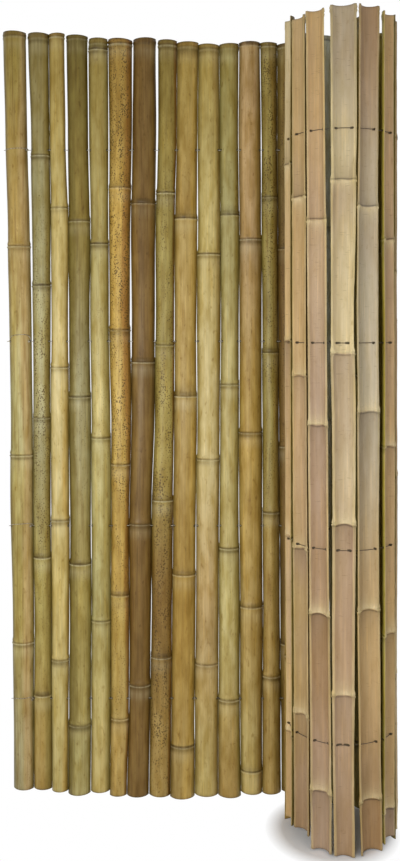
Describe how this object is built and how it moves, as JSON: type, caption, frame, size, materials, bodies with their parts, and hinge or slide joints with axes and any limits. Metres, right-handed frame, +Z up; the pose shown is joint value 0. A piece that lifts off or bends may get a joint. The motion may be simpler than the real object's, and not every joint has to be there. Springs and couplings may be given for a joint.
{
  "type": "bamboo screen",
  "caption": "Screen of split bamboo canes threaded on wires: part stands flat with the green skins outward, the rest is rolled up in front of it.",
  "frame": {"origin": "middle of the screen's plan at floor level", "axes": "+Z up along the canes, +X along the flat run from its free end to the roll, -Y towards the front, where the roll stands"},
  "size_m": [0.911, 0.2502, 1.8263],
  "materials": {
    "bamboo_olive": "weathered waxy skin, bare split inside",
    "bamboo_straw": "weathered waxy skin, bare split inside",
    "bamboo_sage": "weathered waxy skin, bare split inside",
    "bamboo_golden": "weathered waxy skin, bare split inside",
    "bamboo_brown": "weathered waxy skin, bare split inside",
    "galvanised_wire": "dull zinc"
  },
  "bodies": {
    "root": {"cane_01": "bamboo_olive", "cane_02": "bamboo_olive", "cane_03": "bamboo_straw", "cane_04": "bamboo_olive", "cane_05": "bamboo_sage", "cane_06": "bamboo_golden", "cane_07": "bamboo_brown", "cane_08": "bamboo_olive", "cane_09": "bamboo_straw", "cane_10": "bamboo_straw", "cane_11": "bamboo_sage", "cane_12": "bamboo_golden", "cane_13": "bamboo_olive", "cane_14": "bamboo_brown", "cane_15": "bamboo_brown", "cane_16": "bamboo_olive", "cane_17": "bamboo_straw", "cane_18": "bamboo_sage", "cane_19": "bamboo_olive", "cane_20": "bamboo_golden", "cane_21": "bamboo_straw", "cane_22": "bamboo_golden", "cane_23": "bamboo_straw", "cane_24": "bamboo_sage", "cane_25": "bamboo_brown", "cane_26": "bamboo_olive", "cane_27": "bamboo_golden", "cane_28": "bamboo_olive", "cane_29": "bamboo_straw", "cane_30": "bamboo_sage", "cane_31": "bamboo_olive", "cane_32": "bamboo_brown", "wire_1": "galvanised_wire", "wire_2": "galvanised_wire", "wire_3": "galvanised_wire", "wire_4": "galvanised_wire"}
  },
  "joints": []
}
